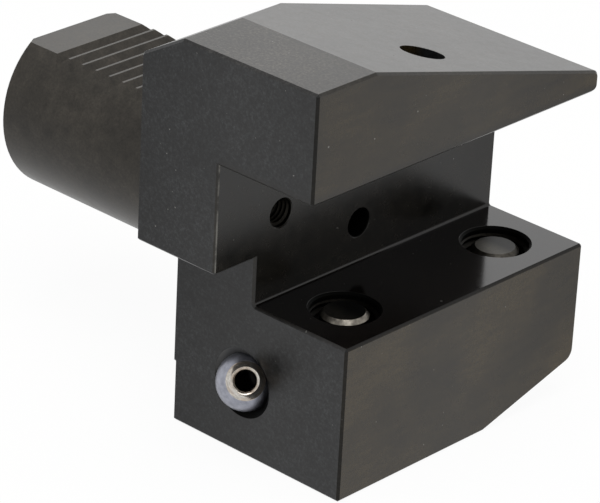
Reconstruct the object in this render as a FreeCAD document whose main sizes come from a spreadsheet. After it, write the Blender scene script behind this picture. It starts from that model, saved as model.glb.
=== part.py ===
import FreeCAD, Part
import math
import os
import Sketcher

# VDI 40 tool holder with a transverse square seat, in millimetres.
# X runs along the shank from the flange's rear face towards the jaws, Y along the tool slot, Z up.
# The origin is where the shank's axis meets the flange's rear face.

SIZES = [
    ("shank_diameter", 40.0),
    ("shank_length", 63.0),
    ("shank_bevel", 1.0),
    ("rack_height", 15.7),
    ("rack_pitch", 4.0),
    ("rack_crest", 0.6),
    ("rack_first", 24.2),
    ("rack_runout", 2.2),
    ("rack_grooves", 8),
    ("flange_thickness", 21.5),
    ("flange_diameter", 83.0),
    ("flange_underside", 1.6),
    ("relief_depth", 1.0),
    ("block_left", 30.0),
    ("block_bottom", 42.5),
    ("bottom_slope_start", 13.75),
    ("bottom_slope_end", 35.0),
    ("bottom_corner", 3.0),
    ("jaw_overhang", 1.0),
    ("lower_reach", 46.5),
    ("upper_reach", 46.0),
    ("seat_height", 25.0),
    ("slot_height", 33.75),
    ("top_crease", 25.25),
    ("tip_height", 29.25),
    ("tip_corner", 1.5),
    ("rear_bevel_drop", 6.25),
    ("rear_bevel_angle", 30.0),
    ("edge_break", 0.5),
    ("slot_root", 0.6),
    ("screw_diameter", 14.0),
    ("screw_length", 30.0),
    ("screw_clearance", 0.07),
    ("screw_mouth", 15.0),
    ("screw_end_distance", 13.0),
    ("screw_left_depth", 0.45),
    ("screw_right_depth", 0.85),
    ("dog_diameter", 10.0),
    ("dog_length", 7.0),
    ("dog_bevel", 0.85),
    ("screw_bevel", 1.0),
    ("hex_width", 6.0),
    ("hex_depth", 8.0),
    ("stop_thread", 6.0),
    ("stop_mouth", 6.5),
    ("stop_depth", 15.0),
    ("stop_side_y", 23.2),
    ("stop_side_z", 9.4),
    ("jaw_hole", 9.0),
    ("jaw_hole_inset", 12.8),
    ("jaw_hole_y", 2.3),
    ("jaw_hole_mouth", 9.6),
    ("ball_diameter", 12.0),
    ("ball_x", 19.45),
    ("ball_z", 26.65),
    ("ball_recess", 1.0),
    ("ball_clearance", 0.05),
    ("ball_mouth", 15.0),
    ("ball_mouth_depth", 1.2),
    ("aim_azimuth", 47.0),
    ("aim_elevation", 29.0),
    ("tube_spigot", 5.0),
    ("tube_fit", 0.02),
    ("tube_bore", 4.3),
    ("tube_collar", 7.9),
    ("tube_tip", 5.8),
    ("tube_reach", 10.5),
    ("tube_lip", 0.35),
    ("tube_collar_length", 1.0),
    ("tube_stand", 0.1),
    ("seal_section", 1.8),
    ("seal_mean", 8.2),
    ("seal_gap", 0.1),
    ("channel_diameter", 6.0),
    ("inlet_y", 16.0),
    ("root_undercut", 0.25),
    ("ring_groove_depth", 2.4),
    ("ring_groove_width", 3.5),
    ("ring_gap", 0.05),
]

# Sizes that follow from the ones above: the head is as wide as its round contact face, the top
# stands above it by the rear bevel's drop, and the clamp screws sit in the middle of the slot.
DERIVED = [
    ("flange_radius", "flange_diameter / 2"),
    ("top_height", "flange_radius + rear_bevel_drop"),
    ("slot_floor", "seat_height - slot_height"),
    ("tip_reach", "flange_radius + jaw_overhang"),
    ("rack_start", "rack_first - rack_runout"),
    ("screw_x", "(flange_thickness + lower_reach) / 2"),
    ("screw_left_y", "-block_left + screw_end_distance"),
    ("screw_right_y", "flange_radius - screw_end_distance"),
    ("jaw_hole_x", "upper_reach - jaw_hole_inset"),
    ("jaw_slope", "(top_height - tip_height) / (top_crease + tip_reach)"),
    ("seal_inset", "sqrt((ball_diameter / 2 + seal_section / 2 + seal_gap) ^ 2 - (seal_mean / 2) ^ 2)"),
]

# How far a cut runs on past the solid that it trims, and how a test tells edges apart.
OVERRUN = 5
NEAR = 0.01
ALONG = 0.99
SHARP_TURN = 40
PROBE_DEPTH = 0.05

# A squeezed ring's corners are cut by this share of its height, close to its round section.
RING_CORNER = 0.3

document = FreeCAD.newDocument("tool_holder")
sheet = document.addObject("Spreadsheet::Sheet", "Sizes")
for row, (name, value) in enumerate(SIZES, start=1):
    sheet.set(f"A{row}", name)
    sheet.set(f"B{row}", str(value))
    sheet.setAlias(f"B{row}", name)
document.recompute()
for row, (name, formula) in enumerate(DERIVED, start=len(SIZES) + 1):
    sheet.set(f"A{row}", name)
    sheet.set(f"B{row}", f"={formula}")
    sheet.setAlias(f"B{row}", name)
    document.recompute()


def cells(text):
    """Turns plain size names in an expression into references to the sheet."""
    names = [name for name, value in SIZES + DERIVED]
    words, word = [], ""
    for letter in text + " ":
        if letter.isalnum() or letter == "_":
            word += letter
            continue
        words.append(f"Sizes.{word}" if word in names else word)
        words.append(letter)
        word = ""
    return "".join(words).strip()


def number(text):
    """The present value of an expression of size names."""
    value = sheet.evalExpression(cells(text))
    return float(getattr(value, "Value", value))


def plane(body, role):
    """One of the origin planes or axes of a body."""
    return next(item for item in body.Origin.OriginFeatures if item.Role == role)


def new_body(name):
    body = document.addObject("PartDesign::Body", name)
    body.Label = name
    return body


def new_sketch(body, name, role, offset=None):
    """A sketch on an origin plane; offset maps x, y or z of the plane's frame to an expression."""
    sketch = body.newObject("Sketcher::SketchObject", name)
    sketch.AttachmentSupport = [(plane(body, role), "")]
    sketch.MapMode = "FlatFace"
    for direction, text in (offset or {}).items():
        sketch.setExpression(f"AttachmentOffset.Base.{direction}", cells(text))
    return sketch


def outline(sketch, corners):
    """A closed polygon whose corners are pinned to the origin by expressions."""
    points = [FreeCAD.Vector(number(x), number(y), 0) for x, y in corners]
    first = sketch.GeometryCount
    for start, end in zip(points, points[1:] + points[:1]):
        sketch.addGeometry(Part.LineSegment(start, end), False)
    count = len(points)
    for index, (x, y) in enumerate(corners):
        line = first + index
        before = first + (index - 1) % count
        sketch.addConstraint(Sketcher.Constraint("Coincident", before, 2, line, 1))
        for kind, text, value in (("DistanceX", x, points[index].x), ("DistanceY", y, points[index].y)):
            added = sketch.addConstraint(Sketcher.Constraint(kind, -1, 1, line, 1, value))
            sketch.setExpression(f"Constraints[{added}]", cells(text))


def ring(sketch, radius):
    """A circle about the sketch's origin, its radius bound to an expression."""
    circle = Part.Circle(FreeCAD.Vector(0, 0, 0), FreeCAD.Vector(0, 0, 1), number(radius))
    index = sketch.addGeometry(circle, False)
    sketch.addConstraint(Sketcher.Constraint("Coincident", index, 3, -1, 1))
    added = sketch.addConstraint(Sketcher.Constraint("Radius", index, number(radius)))
    sketch.setExpression(f"Constraints[{added}]", cells(radius))


def pad(body, name, sketch, length, reverse=False):
    feature = body.newObject("PartDesign::Pad", name)
    feature.Profile = sketch
    feature.Reversed = reverse
    feature.setExpression("Length", cells(length))
    document.recompute()
    return feature


def cut(body, feature):
    """Recomputes after a cut and makes sure that it took something away."""
    before = body.Shape.Volume
    document.recompute()
    if body.Shape.Volume > before - 1e-6:
        raise RuntimeError(f"{feature.Name} cuts nothing")
    return feature


def pocket_through(body, name, sketch):
    """Cuts a profile through the whole body, both ways from its plane."""
    feature = body.newObject("PartDesign::Pocket", name)
    feature.Profile = sketch
    feature.Type = "ThroughAll"
    feature.SideType = "Symmetric"
    return cut(body, feature)


def pocket_depth(body, name, sketch, depth, reverse=False):
    feature = body.newObject("PartDesign::Pocket", name)
    feature.Profile = sketch
    feature.Reversed = reverse
    feature.setExpression("Length", cells(depth))
    return cut(body, feature)


def revolve(body, name, sketch, axis, kind="PartDesign::Revolution"):
    feature = body.newObject(kind, name)
    feature.Profile = sketch
    feature.ReferenceAxis = (sketch, [axis])
    feature.Angle = 360.0
    if kind == "PartDesign::Groove":
        return cut(body, feature)
    document.recompute()
    return feature


def turned_hole(body, name, role, offset, axis, corners):
    """A bore cut by turning half of its section round its axis."""
    sketch = new_sketch(body, f"{name}_section", role, offset)
    outline(sketch, corners)
    return revolve(body, name, sketch, axis, "PartDesign::Groove")


def edge_faces(shape, edge):
    return [face for face in shape.Faces if any(other.isSame(edge) for other in face.Edges)]


def corner_angle(shape, edge):
    """Degrees by which the surface turns at a straight edge: positive where it stands out."""
    faces = edge_faces(shape, edge)
    if len(faces) != 2:
        return 0.0
    middle = edge.CenterOfMass
    normals = []
    for face in faces:
        u, v = face.Surface.parameter(middle)
        normals.append(face.normalAt(u, v))
    turn = math.degrees(normals[0].getAngle(normals[1]))
    probe = middle + (normals[0] - normals[1]) * PROBE_DEPTH
    return -turn if shape.isInside(probe, 1e-6, True) else turn


def straight_edges(feature, wanted):
    """Names of a feature's straight edges that meet a test on their middle, direction and angle."""
    shape = feature.Shape
    names = []
    for index, edge in enumerate(shape.Edges, start=1):
        if not isinstance(edge.Curve, Part.Line):
            continue
        ends = [vertex.Point for vertex in edge.Vertexes]
        direction = (ends[1] - ends[0]).normalize()
        if wanted(edge.CenterOfMass, direction, corner_angle(shape, edge)):
            names.append(f"Edge{index}")
    return names


def dress(body, kind, name, edges, size, text):
    """A fillet or chamfer on the present tip of a body."""
    base = body.Tip
    feature = body.newObject(kind, name)
    feature.Base = (base, edges)
    feature.setExpression(size, cells(text))
    document.recompute()
    return feature


# Outline of the head, looking along the shank: an overhanging flange on the left, a top that
# falls away to a thin tip on the right, and a lower block with a sloping bottom corner.
HEAD = [
    ("-block_left", "-block_bottom"),
    ("bottom_slope_start", "-block_bottom"),
    ("flange_radius", "-bottom_slope_end"),
    ("flange_radius", "seat_height"),
    ("tip_reach", "seat_height"),
    ("tip_reach", "tip_height"),
    ("-top_crease", "top_height"),
    ("-flange_radius", "top_height"),
    ("-flange_radius", "flange_underside"),
    ("-block_left", "flange_underside"),
]

# The tool slot opens towards +X, and the upper jaw stops a little short of the lower one.
SLOT = [
    ("flange_thickness", "slot_floor"),
    (f"lower_reach + {OVERRUN}", "slot_floor"),
    (f"lower_reach + {OVERRUN}", f"top_height + {OVERRUN}"),
    ("upper_reach", f"top_height + {OVERRUN}"),
    ("upper_reach", "seat_height"),
    ("flange_thickness", "seat_height"),
]

# The rear bevel brings the top down to the flange's round contact face.
BEVEL_RUN = "rear_bevel_drop / tan(rear_bevel_angle)"
REAR_BEVEL = [
    ("0", "flange_radius"),
    (BEVEL_RUN, "top_height"),
    (BEVEL_RUN, f"top_height + {OVERRUN}"),
    (f"-{OVERRUN}", f"top_height + {OVERRUN}"),
    (f"-{OVERRUN}", "flange_radius"),
]


def make_head(body):
    """The block with its slot, jaws and broken edges."""
    profile = new_sketch(body, "head_outline", "YZ_Plane")
    outline(profile, HEAD)
    pad(body, "head", profile, "lower_reach")
    slot = new_sketch(body, "slot_outline", "XZ_Plane")
    outline(slot, SLOT)
    pocket_through(body, "tool_slot", slot)
    bevel = new_sketch(body, "rear_bevel_outline", "XZ_Plane")
    outline(bevel, REAR_BEVEL)
    pocket_through(body, "rear_bevel", bevel)

    tip_y = number("tip_reach")
    corner_y = number("flange_radius")
    corner_z = -number("bottom_slope_end")

    def at_tip(middle, direction, angle):
        return abs(direction.x) > ALONG and abs(middle.y - tip_y) < NEAR

    def at_corner(middle, direction, angle):
        off = abs(middle.y - corner_y) + abs(middle.z - corner_z)
        return abs(direction.x) > ALONG and off < NEAR

    tip_edges = straight_edges(body.Tip, at_tip)
    dress(body, "PartDesign::Fillet", "tip_rounding", tip_edges, "Radius", "tip_corner")
    corner_edges = straight_edges(body.Tip, at_corner)
    dress(body, "PartDesign::Fillet", "corner_rounding", corner_edges, "Radius", "bottom_corner")

    wall = number("flange_thickness")
    floor = number("slot_floor")

    def in_slot_root(middle, direction, angle):
        return abs(direction.y) > ALONG and abs(middle.x - wall) + abs(middle.z - floor) < NEAR

    roots = straight_edges(body.Tip, in_slot_root)
    dress(body, "PartDesign::Fillet", "slot_root_rounding", roots, "Radius", "slot_root")

    def is_sharp(middle, direction, angle):
        return angle > SHARP_TURN

    sharp = straight_edges(body.Tip, is_sharp)
    dress(body, "PartDesign::Chamfer", "edge_breaks", sharp, "Size", "edge_break")


def make_shank(body):
    """The round shank with its flat and the toothed rack that the turret's wedge grips.

    Its round root centres the holder in the turret and its rear stretch is pulled by the rack,
    so the two are ground as separate stretches and stay separate faces.
    """
    section = new_sketch(body, "shank_section", "XZ_Plane")
    outline(section, [
        ("flange_thickness / 2", "0"),
        ("-shank_length", "0"),
        ("-shank_length", "shank_diameter / 2 - shank_bevel"),
        ("-shank_length + shank_bevel", "shank_diameter / 2"),
        ("-rack_start", "shank_diameter / 2"),
        ("flange_thickness / 2", "shank_diameter / 2"),
    ])
    revolve(body, "shank", section, "H_Axis")
    flat = new_sketch(body, "rack_flat_outline", "XZ_Plane")
    outline(flat, [
        (f"-shank_length - {OVERRUN}", "rack_height"),
        ("-rack_start", "rack_height"),
        ("-rack_start", "shank_diameter"),
        (f"-shank_length - {OVERRUN}", "shank_diameter"),
    ])
    pocket_through(body, "rack_flat", flat)
    tooth = new_sketch(body, "rack_tooth_outline", "XZ_Plane")
    outline(tooth, [
        ("-rack_first - rack_pitch / 2 + rack_crest / 2", "rack_height"),
        ("-rack_first", "rack_height - rack_pitch / 2 + rack_crest / 2"),
        ("-rack_first + rack_pitch / 2 - rack_crest / 2", "rack_height"),
        ("-rack_first + rack_pitch / 2 - rack_crest / 2", f"rack_height + {OVERRUN}"),
        ("-rack_first - rack_pitch / 2 + rack_crest / 2", f"rack_height + {OVERRUN}"),
    ])
    groove = pocket_through(body, "rack_tooth", tooth)
    rack = body.newObject("PartDesign::LinearPattern", "rack_teeth")
    rack.Originals = [groove]
    rack.Direction = (tooth, ["H_Axis"])
    rack.Reversed = True
    rack.setExpression("Length", cells("(rack_grooves - 1) * rack_pitch"))
    rack.setExpression("Occurrences", cells("rack_grooves"))
    body.Tip = rack
    cut(body, rack)


def make_rear_face(body):
    """The contact face: relieved below its circle, with a groove for the sealing ring.

    The groove runs a little under the shank's own diameter, so that the shank's root is cleared
    for grinding and a turret's bore meets nothing but the shank.
    """
    relief = new_sketch(body, "relief_outline", "YZ_Plane")
    radius = number("flange_radius")
    reach = number(f"block_bottom + {OVERRUN}")
    circle = Part.Circle(FreeCAD.Vector(0, 0, 0), FreeCAD.Vector(0, 0, 1), radius)
    arc = relief.addGeometry(Part.ArcOfCircle(circle, math.pi, 2 * math.pi), False)
    corners = [
        FreeCAD.Vector(radius, 0, 0),
        FreeCAD.Vector(reach, 0, 0),
        FreeCAD.Vector(reach, -reach, 0),
        FreeCAD.Vector(-reach, -reach, 0),
        FreeCAD.Vector(-reach, 0, 0),
        FreeCAD.Vector(-radius, 0, 0),
    ]
    lines = [relief.addGeometry(Part.LineSegment(a, b), False) for a, b in zip(corners, corners[1:])]
    relief.addConstraint(Sketcher.Constraint("Coincident", arc, 3, -1, 1))
    relief.addConstraint(Sketcher.Constraint("Coincident", arc, 2, lines[0], 1))
    relief.addConstraint(Sketcher.Constraint("Coincident", arc, 1, lines[-1], 2))
    for before, after in zip(lines, lines[1:]):
        relief.addConstraint(Sketcher.Constraint("Coincident", before, 2, after, 1))
    for line in (lines[0], lines[2], lines[4]):
        relief.addConstraint(Sketcher.Constraint("Horizontal", line))
    for line in (lines[1], lines[3]):
        relief.addConstraint(Sketcher.Constraint("Vertical", line))
    relief.addConstraint(Sketcher.Constraint("PointOnObject", arc, 1, -1))
    relief.addConstraint(Sketcher.Constraint("PointOnObject", arc, 2, -1))
    bound = [
        (Sketcher.Constraint("Radius", arc, radius), "flange_radius"),
        (Sketcher.Constraint("DistanceX", -1, 1, lines[0], 2, reach), f"block_bottom + {OVERRUN}"),
        (Sketcher.Constraint("DistanceY", -1, 1, lines[1], 2, -reach), f"-block_bottom - {OVERRUN}"),
        (Sketcher.Constraint("DistanceX", -1, 1, lines[3], 2, -reach), f"-block_bottom - {OVERRUN}"),
    ]
    for constraint, text in bound:
        added = relief.addConstraint(constraint)
        relief.setExpression(f"Constraints[{added}]", cells(text))
    pocket_depth(body, "rear_relief", relief, "relief_depth", reverse=True)

    groove = new_sketch(body, "ring_groove_outline", "YZ_Plane")
    ring(groove, "shank_diameter / 2 - root_undercut")
    ring(groove, "shank_diameter / 2 + ring_groove_width")
    pocket_depth(body, "ring_groove", groove, "ring_groove_depth", reverse=True)


def screw_bore(body, name, y):
    """A tapped bore up through the lower jaw, opened out at both ends."""
    flare = "(screw_mouth - screw_diameter) / 2"
    turned_hole(body, name, "XZ_Plane", {"x": "screw_x", "z": f"-({y})"}, "V_Axis", [
        ("0", f"slot_floor + {OVERRUN}"),
        ("screw_mouth / 2", f"slot_floor + {OVERRUN}"),
        ("screw_mouth / 2", "slot_floor"),
        ("screw_diameter / 2", f"slot_floor - {flare}"),
        ("screw_diameter / 2", f"-block_bottom + {flare}"),
        ("screw_mouth / 2", "-block_bottom"),
        ("screw_mouth / 2", f"-block_bottom - {OVERRUN}"),
        ("0", f"-block_bottom - {OVERRUN}"),
    ])


def stop_hole(body, name, y, z):
    """A blind tapped hole in the slot's wall, for a tool stop."""
    flare = "(stop_mouth - stop_thread) / 2"
    turned_hole(body, name, "XZ_Plane", {"y": z, "z": f"-({y})"}, "H_Axis", [
        (f"flange_thickness + {OVERRUN}", "0"),
        (f"flange_thickness + {OVERRUN}", "stop_mouth / 2"),
        ("flange_thickness", "stop_mouth / 2"),
        (f"flange_thickness - {flare}", "stop_thread / 2"),
        ("flange_thickness - stop_depth", "stop_thread / 2"),
        ("flange_thickness - stop_depth - stop_thread / 4", "0"),
    ])


def make_holes(body):
    """Clamp-screw bores, stop holes, the upper jaw's hole and the coolant way."""
    screw_bore(body, "screw_bore_left", "screw_left_y")
    screw_bore(body, "screw_bore_right", "screw_right_y")
    stop_hole(body, "stop_hole_side", "-stop_side_y", "stop_side_z")
    stop_hole(body, "stop_hole_centre", "0", "0")

    mouth = "top_height - (top_crease + jaw_hole_y) * jaw_slope"
    turned_hole(body, "jaw_through_hole", "XZ_Plane", {"x": "jaw_hole_x", "z": "-jaw_hole_y"}, "V_Axis", [
        ("0", f"seat_height - {OVERRUN}"),
        ("jaw_hole_mouth / 2", f"seat_height - {OVERRUN}"),
        ("jaw_hole_mouth / 2", "seat_height"),
        ("jaw_hole / 2", "seat_height + (jaw_hole_mouth - jaw_hole) / 2"),
        ("jaw_hole / 2", f"{mouth} + jaw_hole"),
        ("0", f"{mouth} + jaw_hole"),
    ])

    # The nozzle's seat runs in from the block's left side and meets the channel from the inlet.
    seat_radius = "ball_diameter / 2 + ball_clearance"
    shoulder = "-block_left + ball_recess + seal_inset + seal_section / 2"
    turned_hole(body, "nozzle_seat", "XY_Plane", {"x": "ball_x", "z": "-ball_z"}, "V_Axis", [
        ("0", f"-block_left - {OVERRUN}"),
        ("ball_mouth / 2", f"-block_left - {OVERRUN}"),
        ("ball_mouth / 2", "-block_left"),
        (seat_radius, "-block_left + ball_mouth_depth"),
        (seat_radius, shoulder),
        ("channel_diameter / 2", shoulder),
        ("channel_diameter / 2", "-inlet_y"),
        ("0", "-inlet_y + channel_diameter / 4"),
    ])
    turned_hole(body, "coolant_inlet", "XZ_Plane", {"y": "-ball_z", "z": "inlet_y"}, "H_Axis", [
        (f"-{OVERRUN}", "0"),
        (f"-{OVERRUN}", "channel_diameter / 2"),
        ("ball_x", "channel_diameter / 2"),
        ("ball_x + channel_diameter / 4", "0"),
    ])


def keep_borders(body, first):
    """From the named feature on, faces that lie in one surface keep the border between them."""
    names = [item.Name for item in body.Group]
    for item in body.Group[names.index(first):]:
        if hasattr(item, "Refine"):
            item.Refine = False
    document.recompute()


def make_holder():
    body = new_body("holder_body")
    make_head(body)
    make_shank(body)
    make_rear_face(body)
    make_holes(body)
    keep_borders(body, "shank")
    return body


def make_clamp_screw(name, y, depth):
    """A set screw with a dog point upwards and a hexagon socket in its lower end."""
    body = new_body(name)
    radius = "screw_diameter / 2 - screw_clearance"
    section = new_sketch(body, f"{name}_section", "XZ_Plane")
    outline(section, [
        ("0", "0"),
        ("dog_diameter / 2 - dog_bevel", "0"),
        ("dog_diameter / 2", "-dog_bevel"),
        ("dog_diameter / 2", "-dog_length"),
        (radius, f"-dog_length - ({radius} - dog_diameter / 2)"),
        (radius, "-screw_length + screw_bevel"),
        (f"{radius} - screw_bevel", "-screw_length"),
        ("0", "-screw_length"),
    ])
    revolve(body, f"{name}_turned", section, "V_Axis")
    socket = new_sketch(body, f"{name}_socket_outline", "XY_Plane", {"z": "-screw_length"})
    corner = "hex_width / sqrt(3)"
    outline(socket, [
        (corner, "0"),
        (f"{corner} / 2", "hex_width / 2"),
        (f"-{corner} / 2", "hex_width / 2"),
        (f"-{corner}", "0"),
        (f"-{corner} / 2", "-hex_width / 2"),
        (f"{corner} / 2", "-hex_width / 2"),
    ])
    pocket_depth(body, f"{name}_socket", socket, "hex_depth", reverse=True)
    body.setExpression("Placement.Base.x", cells("screw_x"))
    body.setExpression("Placement.Base.y", cells(y))
    body.setExpression("Placement.Base.z", cells(f"slot_floor - {depth}"))
    return body


def aim(body):
    """Puts a piece turned about its own Z axis at the ball's centre, along the nozzle's aim."""
    body.setExpression("Placement.Base.x", cells("ball_x"))
    body.setExpression("Placement.Base.y", cells("-block_left + ball_recess"))
    body.setExpression("Placement.Base.z", cells("-ball_z"))
    body.setExpression("Placement.Rotation", cells(
        "rotation(vector(0; 0; 1); -aim_azimuth) * rotation(vector(0; 1; 0); 90 - aim_elevation)"))


def make_ball():
    """The swivelling ball with a bore for the tube and a flat behind for the coolant."""
    body = new_body("nozzle_ball")
    section = new_sketch(body, "nozzle_ball_section", "XZ_Plane")
    radius = number("ball_diameter / 2")
    bore = number("tube_spigot / 2")
    reach = math.sqrt(radius ** 2 - bore ** 2)
    start = math.atan2(-reach, bore)
    circle = Part.Circle(FreeCAD.Vector(0, 0, 0), FreeCAD.Vector(0, 0, 1), radius)
    arc = section.addGeometry(Part.ArcOfCircle(circle, start, -start), False)
    low = FreeCAD.Vector(bore, -reach, 0)
    high = FreeCAD.Vector(bore, reach, 0)
    line = section.addGeometry(Part.LineSegment(high, low), False)
    section.addConstraint(Sketcher.Constraint("Coincident", arc, 3, -1, 1))
    section.addConstraint(Sketcher.Constraint("Coincident", arc, 2, line, 1))
    section.addConstraint(Sketcher.Constraint("Coincident", arc, 1, line, 2))
    section.addConstraint(Sketcher.Constraint("Vertical", line))
    bound = [
        (Sketcher.Constraint("Radius", arc, radius), "ball_diameter / 2"),
        (Sketcher.Constraint("DistanceX", -1, 1, line, 1, bore), "tube_spigot / 2"),
    ]
    for constraint, text in bound:
        added = section.addConstraint(constraint)
        section.setExpression(f"Constraints[{added}]", cells(text))
    revolve(body, "nozzle_ball_turned", section, "V_Axis")
    aim(body)
    return body


def make_tube():
    """The stainless nozzle tube: a spigot in the ball, a collar on it and a tapered, lipped end."""
    body = new_body("nozzle_tube")
    section = new_sketch(body, "nozzle_tube_section", "XZ_Plane")
    spigot = "tube_spigot / 2 - tube_fit"
    rear = "sqrt((ball_diameter / 2) ^ 2 - (tube_spigot / 2) ^ 2)"
    front = f"{rear} + tube_stand"
    outline(section, [
        ("tube_bore / 2", f"-{rear}"),
        (spigot, f"-{rear}"),
        (spigot, front),
        ("tube_collar / 2", front),
        ("tube_collar / 2", f"{front} + tube_collar_length"),
        ("tube_tip / 2", "tube_reach - tube_lip"),
        ("tube_tip / 2 - tube_lip / 2", "tube_reach"),
        ("tube_bore / 2 + tube_lip / 2", "tube_reach"),
        ("tube_bore / 2", "tube_reach - tube_lip"),
    ])
    revolve(body, "nozzle_tube_turned", section, "V_Axis")
    aim(body)
    return body


def squeezed_ring(name, mean, width, height):
    """A rubber ring about its own Z axis, squeezed to an oval whose corners are cut at 45 degrees."""
    body = new_body(name)
    section = new_sketch(body, f"{name}_section", "XZ_Plane")
    inner = f"{mean} - {width} / 2"
    outer = f"{mean} + {width} / 2"
    corner = f"{height} * {RING_CORNER}"
    outline(section, [
        (f"{inner} + {corner}", f"-{height} / 2"),
        (f"{outer} - {corner}", f"-{height} / 2"),
        (outer, f"-{height} / 2 + {corner}"),
        (outer, f"{height} / 2 - {corner}"),
        (f"{outer} - {corner}", f"{height} / 2"),
        (f"{inner} + {corner}", f"{height} / 2"),
        (inner, f"{height} / 2 - {corner}"),
        (inner, f"-{height} / 2 + {corner}"),
    ])
    revolve(body, f"{name}_turned", section, "V_Axis")
    return body


def make_seals():
    """The sealing ring round the shank's root and the small one behind the ball, both squeezed."""
    flange_seal = squeezed_ring(
        "flange_seal", "(shank_diameter + ring_groove_width - root_undercut) / 2",
        "(ring_groove_width + root_undercut - 2 * ring_gap)", "(ring_groove_depth - 2 * ring_gap)")
    flange_seal.Placement.Rotation = FreeCAD.Rotation(FreeCAD.Vector(0, 1, 0), 90)
    flange_seal.setExpression("Placement.Base.x", cells("ring_groove_depth / 2"))

    nozzle_seal = squeezed_ring("nozzle_seal", "seal_mean / 2", "seal_section", "seal_section")
    nozzle_seal.Placement.Rotation = FreeCAD.Rotation(FreeCAD.Vector(1, 0, 0), 90)
    nozzle_seal.setExpression("Placement.Base.x", cells("ball_x"))
    nozzle_seal.setExpression("Placement.Base.y", cells("-block_left + ball_recess + seal_inset"))
    nozzle_seal.setExpression("Placement.Base.z", cells("-ball_z"))
    return [flange_seal, nozzle_seal]


pieces = [make_holder()]
pieces.append(make_clamp_screw("clamp_screw_left", "screw_left_y", "screw_left_depth"))
pieces.append(make_clamp_screw("clamp_screw_right", "screw_right_y", "screw_right_depth"))
pieces.append(make_ball())
pieces.append(make_tube())
pieces.extend(make_seals())
document.recompute()

for item in document.Objects:
    if "Invalid" in item.State or "Error" in item.State:
        raise RuntimeError(f"{item.Name} failed: {item.State}")

os.makedirs("parts", exist_ok=True)
for piece in pieces:
    shape = piece.Shape
    if shape.isNull() or not shape.isValid() or not shape.Solids:
        raise RuntimeError(f"{piece.Label} has no valid solid")
    shape.exportStep(f"parts/{piece.Label}.step")
    print(piece.Label, len(shape.Solids), "solid", round(shape.Volume, 1), "mm3")
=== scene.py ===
"""The looks of the turning tool holder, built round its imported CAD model.

Sizes are in millimetres and become metres where meshes, places and patterns are made.
"""

import math

import bmesh
import bpy
import numpy as np
from mathutils import Matrix, Vector


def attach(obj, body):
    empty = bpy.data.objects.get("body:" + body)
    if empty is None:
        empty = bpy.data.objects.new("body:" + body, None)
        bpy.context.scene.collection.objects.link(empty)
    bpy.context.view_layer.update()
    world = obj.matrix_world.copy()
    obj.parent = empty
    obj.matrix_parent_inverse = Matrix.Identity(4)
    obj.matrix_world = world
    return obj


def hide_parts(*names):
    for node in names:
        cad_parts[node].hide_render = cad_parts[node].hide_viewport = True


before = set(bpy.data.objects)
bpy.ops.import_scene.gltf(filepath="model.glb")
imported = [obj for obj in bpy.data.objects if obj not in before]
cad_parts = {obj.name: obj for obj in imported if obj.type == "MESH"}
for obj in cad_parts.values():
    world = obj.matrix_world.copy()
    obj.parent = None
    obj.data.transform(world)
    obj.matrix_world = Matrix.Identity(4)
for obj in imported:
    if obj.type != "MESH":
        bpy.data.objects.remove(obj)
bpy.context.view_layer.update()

MM = 0.001
TURN = 2 * math.pi

# Where the holder's own features lie, in millimetres, as in its CAD source.
BLOCK_LEFT = -30.0
BLOCK_BOTTOM = -42.5
SLOT_FLOOR = -8.75
SLOT_WALL = 21.5
SCREW_X = 34.0
SCREW_LEFT = (-17.0, 0.45)
SCREW_RIGHT = (28.5, 0.85)
STOP_SIDE = (-23.2, 9.4)
STOP_CENTRE = (0.0, 0.0)
TOOL_SEAT = 25.0
BALL_CENTRE = (19.45, -29.0, -26.65)
BALL_RADIUS = 6.0
BALL_MOUTH_DEPTH = 1.2
AIM_AZIMUTH = math.radians(-47.0)
AIM_ELEVATION = math.radians(29.0)


# The camera stands where the photograph was taken from.

FOCAL_LENGTH = 218.44
SENSOR_WIDTH = 36.0
CAMERA_PLACE = (454.426, -497.031, 314.176)
CAMERA_AZIMUTH = -0.83681
CAMERA_ELEVATION = 0.45362
CAMERA_ROLL = -0.052577


def make_camera():
    """The camera looks back along its azimuth and elevation, rolled a little about its own axis."""
    flat = math.cos(CAMERA_ELEVATION)
    forward = Vector((
        -flat * math.cos(CAMERA_AZIMUTH), -flat * math.sin(CAMERA_AZIMUTH), -math.sin(CAMERA_ELEVATION)))
    right = forward.cross(Vector((0, 0, 1))).normalized()
    down = forward.cross(right)
    cosine = math.cos(CAMERA_ROLL)
    sine = math.sin(CAMERA_ROLL)
    rolled_right = cosine * right + sine * down
    rolled_down = cosine * down - sine * right
    turned = Matrix((rolled_right, -rolled_down, -forward)).transposed().to_4x4()
    camera = bpy.data.cameras.new("photograph_view")
    camera.lens = FOCAL_LENGTH
    camera.sensor_width = SENSOR_WIDTH
    camera.sensor_fit = "HORIZONTAL"
    camera.clip_start = 0.01
    camera.clip_end = 20
    holder = bpy.data.objects.new("photograph_view", camera)
    holder.matrix_world = Matrix.Translation(Vector(CAMERA_PLACE) * MM) @ turned
    bpy.context.scene.collection.objects.link(holder)
    bpy.context.scene.camera = holder


make_camera()


# Materials.

def grey(level):
    """A grey, or a plain number where a shader's pattern needs one, as a linear colour."""
    return (level, level, level, 1.0)


def linear(code):
    """An sRGB hex colour such as "3a3936" as the linear colour that a shader takes."""
    parts = [int(code[at:at + 2], 16) / 255 for at in (0, 2, 4)]
    return tuple(c / 12.92 if c <= 0.04045 else ((c + 0.055) / 1.055) ** 2.4 for c in parts) + (1.0,)


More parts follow.
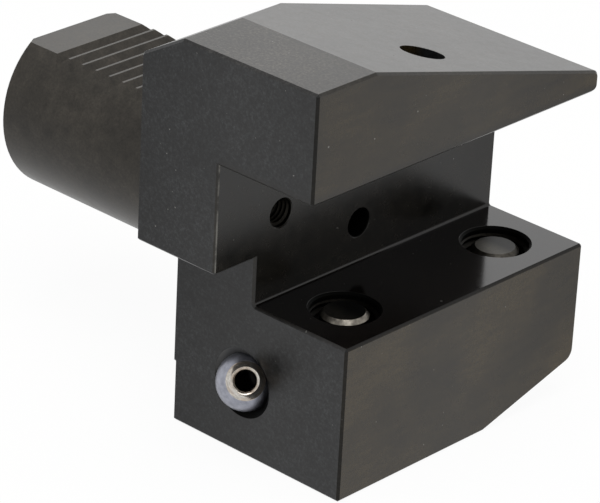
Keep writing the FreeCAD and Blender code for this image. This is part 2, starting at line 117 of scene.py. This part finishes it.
def add(tree, kind, inputs=None, stops=None, **settings):
    """Adds a node with its settings. An input is a value to set or another node's socket to link."""
    node = tree.nodes.new(kind)
    for key, value in settings.items():
        setattr(node, key, value)
    for key, value in (inputs or {}).items():
        if isinstance(value, bpy.types.NodeSocket):
            tree.links.new(value, node.inputs[key])
        else:
            node.inputs[key].default_value = value
    if stops:
        ramp = node.color_ramp
        while len(ramp.elements) < len(stops):
            ramp.elements.new(0.5)
        for element, (place, colour) in zip(ramp.elements, stops):
            element.position = place
            element.color = colour if isinstance(colour, tuple) else grey(colour)
    return node


# Socket numbers of the Mix node when it mixes colours.
MIX_A = 6
MIX_B = 7
MIX_RESULT = 2


def new_material(name):
    """A material with its output and one Principled shader, ready for its pattern."""
    material = bpy.data.materials.new(name)
    material.use_nodes = True
    tree = material.node_tree
    tree.nodes.clear()
    shader = add(tree, "ShaderNodeBsdfPrincipled")
    add(tree, "ShaderNodeOutputMaterial", {"Surface": shader.outputs["BSDF"]})
    place = add(tree, "ShaderNodeTexCoord").outputs["Object"]
    return material, tree, shader, place


def noise(tree, place, size_mm, detail=3.0, roughness=0.5, stretch=None):
    """Noise whose features are about size_mm across, stretched along an axis if asked. Gives its socket."""
    if stretch:
        place = add(tree, "ShaderNodeMapping", {"Vector": place, "Scale": stretch}).outputs["Vector"]
    return add(tree, "ShaderNodeTexNoise", {
        "Vector": place, "Scale": 1 / (size_mm * MM), "Detail": detail, "Roughness": roughness,
    }).outputs["Fac"]


def ramp(tree, value, stops):
    """A ramp from a value to a colour or a number. Gives its socket."""
    return add(tree, "ShaderNodeValToRGB", {"Fac": value}, stops).outputs["Color"]


def tones(tree, value, dark, light):
    """The ramp of a finish's colours, from its dark hex colour to its light one. Gives its socket."""
    return ramp(tree, value, [(0.3, linear(dark)), (0.7, linear(light))])


def mix(tree, share, first, second, blend="MIX"):
    """Two colours mixed by a share. Gives its socket."""
    node = add(tree, "ShaderNodeMix", {0: share, MIX_A: first, MIX_B: second},
               data_type="RGBA", blend_type=blend)
    return node.outputs[MIX_RESULT]


def tinted(tree, colour, factor):
    """A colour multiplied by another. Gives its socket."""
    return mix(tree, 1.0, colour, factor, "MULTIPLY")


def ranged(tree, value, low, high):
    """A number from 0 to 1 spread between low and high. Gives its socket."""
    return add(tree, "ShaderNodeMapRange", {
        "Value": value, "To Min": low, "To Max": high}).outputs["Result"]


def share_between(tree, value, low, high):
    """How far a value has come from low to high, from 0 to 1. Gives its socket."""
    return add(tree, "ShaderNodeMapRange", {
        "Value": value, "From Min": low, "From Max": high}).outputs["Result"]


def past(tree, coordinate, start, full):
    """How far a coordinate has come from start to full, both in millimetres. Gives its socket."""
    return share_between(tree, coordinate, start * MM, full * MM)


def joined(tree, operation, values):
    """Numbers taken together, one after another, by a Math node's operation. Gives its socket."""
    result = values[0]
    for value in values[1:]:
        result = add(tree, "ShaderNodeMath", {0: result, 1: value}, operation=operation).outputs["Value"]
    return result


def product(tree, *values):
    """Numbers multiplied. Gives its socket."""
    return joined(tree, "MULTIPLY", values)


def either(tree, *values):
    """The largest of some numbers. Gives its socket."""
    return joined(tree, "MAXIMUM", values)


def near_axis(tree, where, plane, centre, radius):
    """Whether a point is within a radius of an axis through centre, square to a plane such as "XY"."""
    first = add(tree, "ShaderNodeMath", {0: where[plane[0]], 1: centre[0] * MM}, operation="SUBTRACT")
    second = add(tree, "ShaderNodeMath", {0: where[plane[1]], 1: centre[1] * MM}, operation="SUBTRACT")
    offset = add(tree, "ShaderNodeCombineXYZ", {"X": first.outputs["Value"], "Y": second.outputs["Value"]})
    away = add(tree, "ShaderNodeVectorMath", {0: offset.outputs["Vector"]}, operation="LENGTH")
    return past(tree, away.outputs["Value"], radius + 0.05, radius - 0.05)


def bump(tree, height, depth_mm, strength=1.0):
    """A bump of a real depth in millimetres. Gives its normal socket."""
    return add(tree, "ShaderNodeBump", {
        "Height": height, "Distance": depth_mm * MM, "Strength": strength}).outputs["Normal"]


# How far the near-black painted shade reaches round each hole's axis, in millimetres.
SCREW_MOUTH = 8.4
STOP_SIDE_MOUTH = 3.05
STOP_CENTRE_MOUTH = 3.3
BALL_MOUTH = 7.55


def holder_zones(tree, place):
    """Shares from 0 to 1, by name, of each finish of the holder at a point.

    They follow from where the point lies, in millimetres, and how its face is turned.
    """
    normal = add(tree, "ShaderNodeNewGeometry").outputs["True Normal"]
    facing = add(tree, "ShaderNodeSeparateXYZ", {"Vector": normal}).outputs
    where = add(tree, "ShaderNodeSeparateXYZ", {"Vector": place}).outputs
    zones = {
        "square": share_between(tree, facing["X"], 0.6, 0.9),
        "upward": share_between(tree, facing["Z"], 0.6, 0.9),
        "on_shank": past(tree, where["X"], 0.5, -0.5),
        "off_shank": past(tree, where["X"], -0.5, 0.5),
        "rearward": past(tree, where["X"], 26, 0),
        "thin_end": past(tree, where["Y"], 5, 42),
    }
    zones["in_slot"] = product(
        tree, past(tree, where["X"], SLOT_WALL - 0.2, SLOT_WALL - 0.1),
        past(tree, where["Z"], TOOL_SEAT + 2, TOOL_SEAT),
        past(tree, where["Z"], SLOT_FLOOR - 0.4, SLOT_FLOOR - 0.1))
    zones["slot_floor"] = product(tree, zones["upward"], zones["in_slot"])

    screw_bores = product(
        tree, either(tree, near_axis(tree, where, "XY", (SCREW_X, SCREW_LEFT[0]), SCREW_MOUTH),
                     near_axis(tree, where, "XY", (SCREW_X, SCREW_RIGHT[0]), SCREW_MOUTH)),
        past(tree, where["Z"], SLOT_FLOOR - 0.02, SLOT_FLOOR - 0.06))
    stop_holes = product(
        tree, either(tree, near_axis(tree, where, "YZ", STOP_SIDE, STOP_SIDE_MOUTH),
                     near_axis(tree, where, "YZ", STOP_CENTRE, STOP_CENTRE_MOUTH)),
        past(tree, where["X"], SLOT_WALL - 0.02, SLOT_WALL - 0.1), past(tree, where["X"], 0, 1))
    mouth_foot = BLOCK_LEFT + BALL_MOUTH_DEPTH
    ball_mouth = product(
        tree, near_axis(tree, where, "XZ", (BALL_CENTRE[0], BALL_CENTRE[2]), BALL_MOUTH),
        past(tree, where["Y"], BLOCK_LEFT + 0.01, BLOCK_LEFT + 0.05),
        past(tree, where["Y"], mouth_foot + 0.1, mouth_foot))
    # Painted light: the upper part of the ball's mouth is made a lighter grey where the seat would show
    # dark.
    zones["mouth_top"] = product(tree, ball_mouth, past(tree, where["Z"], -28, -23))
    # The zone named bare is painted shade: near black on the mouths and walls of the screw bores and stop
    # holes, and on the lower part of the ball's mouth, where the ball's shadow falls.
    zones["bare"] = either(
        tree, screw_bores, stop_holes, product(tree, ball_mouth, past(tree, where["Z"], -26, -29)))

    # The wall's own upright edge is painted light grey in a mottled line about a millimetre wide: rubbed
    # wear together with a painted highlight along the edge.
    zones["rubbed"] = product(
        tree, share_between(tree, facing["Y"], -0.5, -0.65), share_between(tree, facing["X"], 0.5, 0.65),
        past(tree, where["X"], SLOT_WALL - 0.24, SLOT_WALL - 0.16),
        past(tree, where["X"], SLOT_WALL + 1.0, SLOT_WALL + 0.9), past(tree, where["Y"], -34, -36))
    # The upper jaw's top has a level part and a slope towards +Y.
    zones["level_top"] = product(
        tree, zones["upward"], share_between(tree, facing["Y"], 0.2, 0.06), past(tree, where["Z"], 40, 41))
    # The front's broken edges, the upright ones and the lower jaw's, are made near black: painted shade
    # that keeps their highlight off.
    zones["broken"] = product(
        tree, share_between(tree, facing["X"], 0.45, 0.55), share_between(tree, facing["X"], 0.9, 0.8),
        past(tree, where["X"], 44, 45),
        either(tree, share_between(tree, facing["Y"], -0.4, -0.5), past(tree, where["Z"], 0, -1)), 0.55)
    return zones


def black_oxide_ground_steel():
    """Case steel, ground and then blackened in a hot salt bath: magnetite under a film of oil.

    It is almost black in itself, and what shows is the studio in its satin gloss. A fine bluish
    grain with a few bare specks covers the sides. The faces square to the shank carry a browner
    oxide in streaks, the slot's floor is polished by the tools, and the milled shank is duller.
    """
    material, tree, shader, place = new_material("black_oxide_ground_steel")
    zones = holder_zones(tree, place)
    clouds = noise(tree, place, 20.0, detail=2.0, roughness=0.45)
    patches = noise(tree, place, 3.2, detail=4.0, roughness=0.65)
    grain = noise(tree, place, 0.55, detail=3.0, roughness=0.75)
    dust = noise(tree, place, 0.75, detail=1.0)
    streaks = noise(tree, place, 1.6, detail=3.0, roughness=0.6, stretch=(1.0, 0.2, 1.0))
    lines = noise(tree, place, 0.35, detail=2.0, stretch=(0.08, 1.0, 1.0))

    grit = ramp(tree, grain, [(0.3, 0.25), (0.5, 0.9), (0.7, 2.6)])
    fine_grit = ramp(tree, grain, [(0.3, 0.7), (0.7, 1.35)])
    top = tones(tree, patches, "201e1b", "2e2b27")
    side = mix(tree, zones["upward"], tones(tree, patches, "111112", "1f2021"), top)
    brown = tones(tree, streaks, "251e11", "302818")
    brown = tinted(tree, brown, ramp(tree, clouds, [(0.36, 0.8), (0.64, 1.25)]))
    milled = tones(tree, patches, "23201b", "35312b")
    polished = tones(tree, lines, "090706", "15110f")
    wall = tones(tree, patches, "0b0a07", "1a1712")
    colour = mix(tree, zones["square"], tinted(tree, side, grit), tinted(tree, brown, fine_grit))
    colour = mix(tree, zones["in_slot"], colour, wall)
    colour = mix(tree, zones["on_shank"], colour, tinted(tree, milled, fine_grit))
    colour = mix(tree, zones["slot_floor"], colour, polished)
    colour = tinted(tree, colour, ramp(tree, clouds, [(0.38, 0.85), (0.62, 1.2)]))
    speck = product(tree, ramp(tree, dust, [(0.79, 0.0), (0.82, 1.0)]), zones["off_shank"])
    rubbed = product(tree, zones["rubbed"], ramp(tree, patches, [(0.4, 0.05), (0.6, 0.5)]))
    # Painted shade: the holes, the lower part of the ball's mouth and the front's broken edges are made
    # near black.
    black = either(tree, zones["bare"], zones["broken"])
    colour = mix(tree, speck, colour, linear("7c7b77"))
    # Painted light on the upper part of the ball's mouth.
    colour = mix(tree, zones["mouth_top"], colour, linear("4c4c4b"))
    # Painted highlight, with rubbed wear, along the wall's upright edge.
    colour = mix(tree, rubbed, colour, linear("8e8c86"))
    colour = mix(tree, black, colour, linear("0d0d0c"))
    tree.links.new(colour, shader.inputs["Base Color"])

    # Bare black metal reflects less than oiled oxide. The holes and the front's broken edges are made fully
    # so, as painted shade,
    # and the rest is partly so: the sides towards the rear, the front towards the thin ends, the level top,
    # slot and shank.
    dry = mix(tree, zones["upward"], product(tree, zones["rearward"], 0.3), grey(0.0))
    dry = mix(tree, zones["square"], dry, product(tree, zones["thin_end"], 0.35))
    dry = mix(tree, zones["level_top"], dry, grey(0.503))
    dry = mix(tree, zones["slot_floor"], dry, grey(0.279))
    dry = mix(tree, zones["on_shank"], dry, grey(0.434))
    tree.links.new(either(tree, dry, black), shader.inputs["Metallic"])

    gloss = mix(tree, zones["square"], ranged(tree, patches, 0.36, 0.44), ranged(tree, patches, 0.2, 0.32))
    gloss = mix(tree, zones["upward"], gloss, ranged(tree, patches, 0.24, 0.36))
    gloss = mix(tree, zones["slot_floor"], gloss, ranged(tree, lines, 0.07, 0.18))
    gloss = mix(tree, zones["on_shank"], gloss, ranged(tree, patches, 0.3, 0.44))
    gloss = mix(tree, zones["bare"], gloss, grey(0.631))
    tree.links.new(gloss, shader.inputs["Roughness"])
    tree.links.new(bump(tree, grain, 0.0012), shader.inputs["Normal"])
    shader.inputs["IOR"].default_value = 1.44
    return material


def black_oxide_tapped_steel_painted_shade():
    """The threads cut in the holder: blackened and matt, and darker still as painted shade inside the
    holes, so that only their crests catch light.
    """
    material, tree, shader, place = new_material("black_oxide_tapped_steel_painted_shade")
    grain = noise(tree, place, 0.5, detail=3.0)
    shader.inputs["Metallic"].default_value = 1.0
    tree.links.new(tones(tree, grain, "141312", "262420"), shader.inputs["Base Color"])
    tree.links.new(ranged(tree, grain, 0.35, 0.55), shader.inputs["Roughness"])
    return material


def black_oxide_screw_steel():
    """Hardened set-screw steel, turned and blackened. The rim of the point is worn bright by the tools, and
    dimmed by painted shade on the screw towards +Y.
    """
    material, tree, shader, place = new_material("black_oxide_screw_steel")
    normal = add(tree, "ShaderNodeNewGeometry").outputs["True Normal"]
    tilt = add(tree, "ShaderNodeSeparateXYZ", {"Vector": normal}).outputs["Z"]
    where = add(tree, "ShaderNodeSeparateXYZ", {"Vector": place}).outputs
    grain = noise(tree, place, 0.8, detail=3.0)
    scuffs = noise(tree, place, 1.4, detail=4.0, roughness=0.7)
    # The worn rim is kept dimmer on the screw towards +Y: painted shade for its deeper place in the bore.
    wear_and_shade = product(
        tree, share_between(tree, tilt, 0.4, 0.6), share_between(tree, tilt, 0.96, 0.85),
        past(tree, where["Z"], SLOT_FLOOR - 2.0, SLOT_FLOOR - 1.9),
        ramp(tree, scuffs, [(0.3, 0.5), (0.6, 0.9)]),
        ranged(tree, past(tree, where["Y"], 0, 10), 1.0, 0.3))
    # The half of each point's top towards -Y is painted lighter: a painted reflection, with the other half
    # left dark.
    painted_reflection_half = either(
        tree, past(tree, where["Y"], SCREW_LEFT[0] + 1, SCREW_LEFT[0] - 2),
        product(tree, past(tree, where["Y"], SCREW_RIGHT[0] + 1, SCREW_RIGHT[0] - 2),
                past(tree, where["Y"], 9, 10)))
    painted_reflection_half = product(tree, painted_reflection_half, share_between(tree, tilt, 0.96, 0.99))
    black = tones(tree, grain, "0b0b0a", "151412")
    # Painted reflection: the lighter half of each point's top.
    black = mix(tree, painted_reflection_half, black, tones(tree, grain, "35332f", "49463f"))
    bare = tones(tree, grain, "69655e", "989288")
    tree.links.new(mix(tree, wear_and_shade, black, bare), shader.inputs["Base Color"])
    shader.inputs["Metallic"].default_value = 1.0
    tree.links.new(mix(tree, wear_and_shade, ranged(tree, grain, 0.36, 0.48), ranged(tree, scuffs, 0.2, 0.4)),
                   shader.inputs["Roughness"])
    tree.links.new(bump(tree, grain, 0.002), shader.inputs["Normal"])
    return material


def bright_zinc_plate():
    """Steel ball with a blue-bright zinc plate: cool silver with a lavender cast, hazed by handling."""
    material, tree, shader, place = new_material("bright_zinc_plate")
    haze = noise(tree, place, 1.2, detail=4.0)
    shader.inputs["Metallic"].default_value = 1.0
    tree.links.new(tones(tree, haze, "83858f", "a1a3ad"), shader.inputs["Base Color"])
    tree.links.new(ranged(tree, haze, 0.28, 0.45), shader.inputs["Roughness"])
    return material


def turned_stainless_steel():
    """Free-cutting stainless steel, turned: bright and warm, with a cutter's faint chatter in it."""
    material, tree, shader, place = new_material("turned_stainless_steel")
    haze = noise(tree, place, 0.9, detail=4.0)
    stain = noise(tree, place, 2.5, detail=3.0)
    shader.inputs["Metallic"].default_value = 1.0
    colour = tones(tree, haze, "a19d95", "d0cdc6")
    colour = tinted(tree, colour, ramp(tree, stain, [(0.35, linear("eadcd2")), (0.65, linear("ffffff"))]))
    tree.links.new(colour, shader.inputs["Base Color"])
    tree.links.new(ranged(tree, haze, 0.14, 0.3), shader.inputs["Roughness"])
    tree.links.new(bump(tree, haze, 0.006), shader.inputs["Normal"])
    return material


def black_nitrile_rubber():
    """Moulded nitrile rubber: black and softly glossy, with a faint bloom."""
    material, tree, shader, place = new_material("black_nitrile_rubber")
    bloom = noise(tree, place, 1.2, detail=3.0)
    shader.inputs["IOR"].default_value = 1.52
    tree.links.new(tones(tree, bloom, "0f0f0f", "1a1a1a"), shader.inputs["Base Color"])
    tree.links.new(ranged(tree, bloom, 0.45, 0.6), shader.inputs["Roughness"])
    return material


holder_steel = black_oxide_ground_steel()
tapped_steel_painted_shade = black_oxide_tapped_steel_painted_shade()
screw_steel = black_oxide_screw_steel()
zinc_plate = bright_zinc_plate()
stainless = turned_stainless_steel()
rubber = black_nitrile_rubber()


# Surfaces worked out as arrays of points.

def piece_from(name, grids, material, body):
    """One closed piece from grids of points in millimetres, each an array [step, step, xyz].

    Neighbouring points of a grid are joined by a four-sided face. Points that fall together, at
    poles, seams and where two grids meet, are merged, and the faces are turned outwards.
    """
    points = []
    faces = []
    start = 0
    for grid in grids:
        rows, columns = grid.shape[:2]
        index = start + np.arange(rows * columns).reshape(rows, columns)
        quads = np.stack([index[:-1, :-1], index[1:, :-1], index[1:, 1:], index[:-1, 1:]], axis=-1)
        points.append(grid.reshape(-1, 3) * MM)
        faces.append(quads.reshape(-1, 4))
        start += rows * columns
    mesh = bpy.data.meshes.new(name)
    mesh.from_pydata(np.concatenate(points), [], np.concatenate(faces))
    clean_up(mesh)
    mesh.materials.append(material)
    piece = bpy.data.objects.new(name, mesh)
    bpy.context.scene.collection.objects.link(piece)
    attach(piece, body)
    return piece


MERGE = 2e-7
SHARP = math.radians(35)


def clean_up(mesh):
    """Merges doubles, drops faces with no area, points the rest outwards and shades them smooth."""
    form = bmesh.new()
    form.from_mesh(mesh)
    bmesh.ops.remove_doubles(form, verts=form.verts, dist=MERGE)
    bmesh.ops.dissolve_degenerate(form, edges=form.edges, dist=MERGE)
    bmesh.ops.recalc_face_normals(form, faces=form.faces)
    form.to_mesh(mesh)
    form.free()
    mesh.shade_smooth()
    mesh.set_sharp_from_angle(angle=SHARP)


def turned(profile, count, centre, axes):
    """A surface of revolution: each (radius, height) of the profile is carried round the axis.

    Point = centre + radius (cos t A + sin t B) + height C, for the three directions A, B, C.
    """
    angle = np.linspace(0, TURN, count + 1)
    radius = np.array([r for r, h in profile])[:, None, None]
    height = np.array([h for r, h in profile])[:, None, None]
    across, along, axis = (np.array(direction, float) for direction in axes)
    ring = np.cos(angle)[None, :, None] * across + np.sin(angle)[None, :, None] * along
    return np.array(centre, float) + radius * ring + height * axis


UPRIGHT = ((1, 0, 0), (0, 1, 0), (0, 0, 1))
INTO_WALL = ((0, 1, 0), (0, 0, 1), (1, 0, 0))


def flatten(seam):
    """The last column of a closed grid is its first one again, so the two merge exactly."""
    seam[:, -1] = seam[:, 0]
    return seam


# The clamp screws: M14 x 1.5 with a dog point and a hexagon socket.

THREAD_PITCH = 1.5
THREAD_STEPS = 72
SCREW_LENGTH = 30.0
SCREW_RADIUS = 6.93
SCREW_ROOT = 6.1
SCREW_END = 5.93
DOG_LENGTH = 7.0
DOG_RADIUS = 5.0
DOG_BEVEL = 0.85
DOG_ROOT = 0.3
HEX_WIDTH = 6.0
HEX_DEPTH = 8.0
HEX_RIM = 0.25
HEX_RIM_DEPTH = 0.35
HEX_CONE = 0.9
BORE_RADIUS = 7.0
BORE_INSET = 0.6
RIDGE_CREST = 6.25
RIDGE_SINK = 0.03


def thread_strip(length, inner, outer, end_radius, phase):
    """A strip one pitch wide, wound up the screw from its lower end, z = 0, to z = length.

    At the share q of the pitch the radius follows crest, flank, root, flank, and the height is
    pitch (s + q), with s the turns wound so far. Both ends are cut flat, and the radius never
    passes the end's radius plus the distance from that end, which bevels them.
    """
    turns = int(length / THREAD_PITCH) + 3
    wound = np.linspace(-1, turns - 1, turns * THREAD_STEPS + 1)[:, None]
    share = np.array([0.0, 0.14, 0.44, 0.56, 0.86, 1.0])
    radius = np.array([outer, outer, inner, inner, outer, outer])
    height = THREAD_PITCH * (wound + share + phase)
    kept = np.clip(height, 0, length)
    reach = np.minimum(kept, length - kept) + end_radius
    radius = np.minimum(radius, reach)
    angle = TURN * wound
    return np.stack([radius * np.cos(angle), radius * np.sin(angle), kept], axis=-1)


def clamp_screw(name, node, body, y, depth):
    """A set screw: a bevelled thread, a dog point on top and a hexagon socket in its lower end."""
    tip = SLOT_FLOOR - depth
    foot = tip - SCREW_LENGTH
    thread_length = SCREW_LENGTH - DOG_LENGTH
    # The thread's height above the foot is tied to the bore's, so that the two mesh.
    phase = (-foot / THREAD_PITCH) % 1.0
    strip = thread_strip(thread_length, SCREW_ROOT, SCREW_RADIUS, SCREW_END, phase)
    strip = strip + np.array([SCREW_X, y, foot])
    shoulder = tip - DOG_LENGTH
    point = turned([
        (SCREW_END, shoulder), (DOG_RADIUS + DOG_ROOT, shoulder), (DOG_RADIUS, shoulder + DOG_ROOT),
        (DOG_RADIUS, tip - DOG_BEVEL), (DOG_RADIUS - DOG_BEVEL, tip), (DOG_RADIUS / 2, tip), (0, tip),
    ], THREAD_STEPS, (SCREW_X, y, 0), UPRIGHT)
    # A hexagon's radius at an angle is half its width over the cosine of the angle from a flat.
    angle = np.linspace(0, TURN, THREAD_STEPS + 1)
    hexagon = HEX_WIDTH / 2 / np.cos(angle % (TURN / 6) - TURN / 12)
    rim = np.maximum(hexagon, HEX_WIDTH / 2 + HEX_RIM)
    rows = [
        (np.full_like(angle, SCREW_END), foot), (rim, foot), (hexagon, foot + HEX_RIM_DEPTH),
        (hexagon, foot + HEX_DEPTH), (hexagon * 0.0, foot + HEX_DEPTH + HEX_CONE)]
    socket = np.stack([
        np.stack([SCREW_X + r * np.cos(angle), y + r * np.sin(angle), np.full_like(angle, z)], axis=-1)
        for r, z in rows])
    piece = piece_from(name, [strip, flatten(point), flatten(socket)], screw_steel, body)
    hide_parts(node)
    return piece


clamp_screw("clamp_screw_left_threaded", "clamp_screw_left", "left_screw", *SCREW_LEFT)
clamp_screw("clamp_screw_right_threaded", "clamp_screw_right", "right_screw", *SCREW_RIGHT)


def bore_thread(name, centre, axes, bottom, top, pitch, bore, crest, phase, steps):
    """The thread inside a tapped hole: one ridge wound along it, its back sunk in the hole's wall.

    Round the ridge's section go the back, the lower flank, the crest and the upper flank. The
    height of the ridge rises from nothing over the first half turn and falls again over the last.
    """
    turns = (top - bottom) / pitch - 1
    wound = np.linspace(0, turns, int(turns * steps) + 1)[:, None]
    share = np.array([-0.44, -0.08, 0.08, 0.44, -0.44])
    depth = np.array([0.0, 1.0, 1.0, 0.0, 0.0])
    full = bore - crest + RIDGE_SINK
    taper = np.clip(np.minimum(wound, turns - wound) * 2, 0, 1)
    radius = bore + RIDGE_SINK - full * depth * taper
    height = bottom + pitch * (wound + 0.5 + share * taper)
    angle = TURN * (wound + phase)
    across, along, axis = (np.array(direction, float) for direction in axes)
    ring = np.cos(angle)[..., None] * across + np.sin(angle)[..., None] * along
    points = np.array(centre, float) + radius[..., None] * ring + height[..., None] * axis
    return piece_from(name, [points], tapped_steel_painted_shade, "holder")


def screw_bore_thread(name, y):
    """The clamp screw's tapped bore through the lower jaw, meshing with the screw's own thread."""
    bottom = BLOCK_BOTTOM + BORE_INSET
    top = SLOT_FLOOR - BORE_INSET
    # The screw's roots are at heights of pitch (s + 0.5): the ridge's middle is put there too.
    phase = (bottom / THREAD_PITCH) % 1.0
    return bore_thread(name, (SCREW_X, y, 0), UPRIGHT, bottom, top, THREAD_PITCH, BORE_RADIUS,
                       RIDGE_CREST, phase, THREAD_STEPS)


screw_bore_thread("screw_bore_thread_left", SCREW_LEFT[0])
screw_bore_thread("screw_bore_thread_right", SCREW_RIGHT[0])

STOP_PITCH = 1.0
STOP_RADIUS = 3.0
STOP_CREST = 2.5
STOP_DEPTH = 15.0
STOP_INSET = 0.3
STOP_STEPS = 48
# The centre hole's first turns are left out, because none shows in its dark mouth.
STOP_CENTRE_START = 5.3


def stop_thread(name, place, start):
    """The M6 thread in one of the slot wall's stop holes, from the given depth below the wall."""
    return bore_thread(name, (0, *place), INTO_WALL, SLOT_WALL - STOP_DEPTH + STOP_INSET, SLOT_WALL - start,
                       STOP_PITCH, STOP_RADIUS, STOP_CREST, 0.0, STOP_STEPS)


stop_thread("stop_hole_thread_side", STOP_SIDE, STOP_INSET)
stop_thread("stop_hole_thread_centre", STOP_CENTRE, STOP_CENTRE_START)


# The coolant nozzle: a plated ball with a turned tube in it, both on the nozzle's aim.

def nozzle_axes():
    """Two directions across the nozzle's aim, and the aim itself."""
    flat = math.cos(AIM_ELEVATION)
    aim = Vector((flat * math.cos(AIM_AZIMUTH), flat * math.sin(AIM_AZIMUTH), math.sin(AIM_ELEVATION)))
    across = aim.cross(Vector((0, 0, 1))).normalized()
    return tuple(across), tuple(aim.cross(across)), tuple(aim)


TUBE_SPIGOT = 2.5
TUBE_FIT = 0.02
TUBE_BORE = 2.15
TUBE_STAND = 0.1
TUBE_COLLAR = 3.95
TUBE_COLLAR_LENGTH = 1.0
TUBE_TIP = 2.9
TUBE_REACH = 10.5
TUBE_LIP = 0.35
TUBE_THROAT = 2.02
NOZZLE_STEPS = 96
BALL_STEPS = 48


def make_nozzle():
    """The ball is a sphere with a bore, and the tube a spigot, a collar and a cone up to its lip."""
    axes = nozzle_axes()
    reach = math.sqrt(BALL_RADIUS ** 2 - TUBE_SPIGOT ** 2)
    start = math.asin(TUBE_SPIGOT / BALL_RADIUS)
    sweep = np.linspace(math.pi - start, start, BALL_STEPS)
    round_part = [(BALL_RADIUS * math.sin(a), BALL_RADIUS * math.cos(a)) for a in sweep]
    ball_profile = round_part + [(TUBE_SPIGOT, 0.0), (TUBE_SPIGOT, -reach)]
    ball_profile.append(round_part[0])
    ball = turned(ball_profile, NOZZLE_STEPS, BALL_CENTRE, axes)
    ball_piece = piece_from(
        "nozzle_ball_plated", [flatten(ball)], zinc_plate, "nozzle")
    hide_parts("nozzle_ball")

    spigot = TUBE_SPIGOT - TUBE_FIT
    front = reach + TUBE_STAND
    collar_top = front + TUBE_COLLAR_LENGTH
    # The collar's edges are broken, the lip is rounded over, and its mouth narrows to the throat.
    tube_profile = [
        (TUBE_BORE, -reach), (spigot, -reach), (spigot, front), (TUBE_COLLAR - 0.1, front),
        (TUBE_COLLAR, front + 0.1), (TUBE_COLLAR, collar_top - 0.15), (TUBE_COLLAR - 0.15, collar_top),
        (TUBE_TIP, TUBE_REACH - TUBE_LIP), (TUBE_TIP - 0.06, TUBE_REACH - 0.12),
        (TUBE_TIP - 0.14, TUBE_REACH), (TUBE_TIP - 0.24, TUBE_REACH - 0.02),
        (TUBE_THROAT + 0.25, TUBE_REACH - 0.3), (TUBE_THROAT, TUBE_REACH - 0.7),
        (TUBE_THROAT, TUBE_REACH - 1.4), (TUBE_BORE, TUBE_REACH - 1.6), (TUBE_BORE, -reach),
    ]
    tube = turned(tube_profile, NOZZLE_STEPS, BALL_CENTRE, axes)
    tube_piece = piece_from("nozzle_tube_turned", [flatten(tube)], stainless, "nozzle")
    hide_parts("nozzle_tube")


make_nozzle()


# The finishes of the CAD nodes that stay.

FINISHES = {"holder_body": holder_steel, "flange_seal": rubber, "nozzle_seal": rubber}

for node_name, finish in FINISHES.items():
    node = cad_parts[node_name]
    for material_slot in node.material_slots:
        material_slot.material = finish


# The studio: a white floor that keeps the object's shadow, white surroundings and soft lamps.

FLOOR_SIZE = 6.0
FLOOR_GLOW = 0.95


def seen_plainly(tree):
    """Whether a ray comes from the camera, a glossy face or through something. Gives its socket."""
    rays = add(tree, "ShaderNodeLightPath").outputs
    return either(tree, rays["Is Camera Ray"], rays["Is Glossy Ray"], rays["Is Transmission Ray"])


def white_floor():
    """A pale floor under the block. What the camera and glossy faces see of it is mostly plain white."""
    material = bpy.data.materials.new("white_floor_paint")
    material.use_nodes = True
    tree = material.node_tree
    tree.nodes.clear()
    paint = add(tree, "ShaderNodeBsdfDiffuse", {"Color": linear("f4f4f2")})
    glow = add(tree, "ShaderNodeEmission", {"Color": grey(1.0), "Strength": 1.0})
    blended = add(tree, "ShaderNodeMixShader", {
        0: product(tree, seen_plainly(tree), FLOOR_GLOW), 1: paint.outputs["BSDF"],
        2: glow.outputs["Emission"]})
    add(tree, "ShaderNodeOutputMaterial", {"Surface": blended.outputs["Shader"]})
    half = FLOOR_SIZE / 2
    level = BLOCK_BOTTOM * MM - 0.0001
    mesh = bpy.data.meshes.new("studio_floor")
    corners = [(-half, -half, level), (half, -half, level), (half, half, level), (-half, half, level)]
    mesh.from_pydata(corners, [], [(0, 1, 2, 3)])
    mesh.materials.append(material)
    floor = bpy.data.objects.new("studio_floor", mesh)
    bpy.context.scene.collection.objects.link(floor)


def white_world():
    """Plain white where the camera and glossy faces see it, and a gentler level for everything else."""
    world = bpy.data.worlds.new("white_studio")
    world.use_nodes = True
    tree = world.node_tree
    tree.nodes.clear()
    level = ranged(tree, seen_plainly(tree), 0.5, 1.0)
    sky = add(tree, "ShaderNodeBackground", {"Color": grey(1.0), "Strength": level})
    add(tree, "ShaderNodeOutputWorld", {"Surface": sky.outputs["Background"]})
    bpy.context.scene.world = world


def soft_lamp(name, place_mm, size_mm, power):
    """A white square softbox that looks at the middle of the holder."""
    lamp = bpy.data.lights.new(name, "AREA")
    lamp.shape = "SQUARE"
    lamp.size = size_mm * MM
    lamp.energy = power
    box = bpy.data.objects.new(name, lamp)
    box.location = Vector(place_mm) * MM
    box.rotation_euler = (-box.location).to_track_quat("-Z", "Y").to_euler()
    bpy.context.scene.collection.objects.link(box)


white_floor()
white_world()
soft_lamp("back_softbox", (-600, 700, 450), 600, 0.85)
soft_lamp("overhead_softbox", (100, -100, 800), 600, 5.0)

bpy.context.scene.view_settings.view_transform = "Standard"
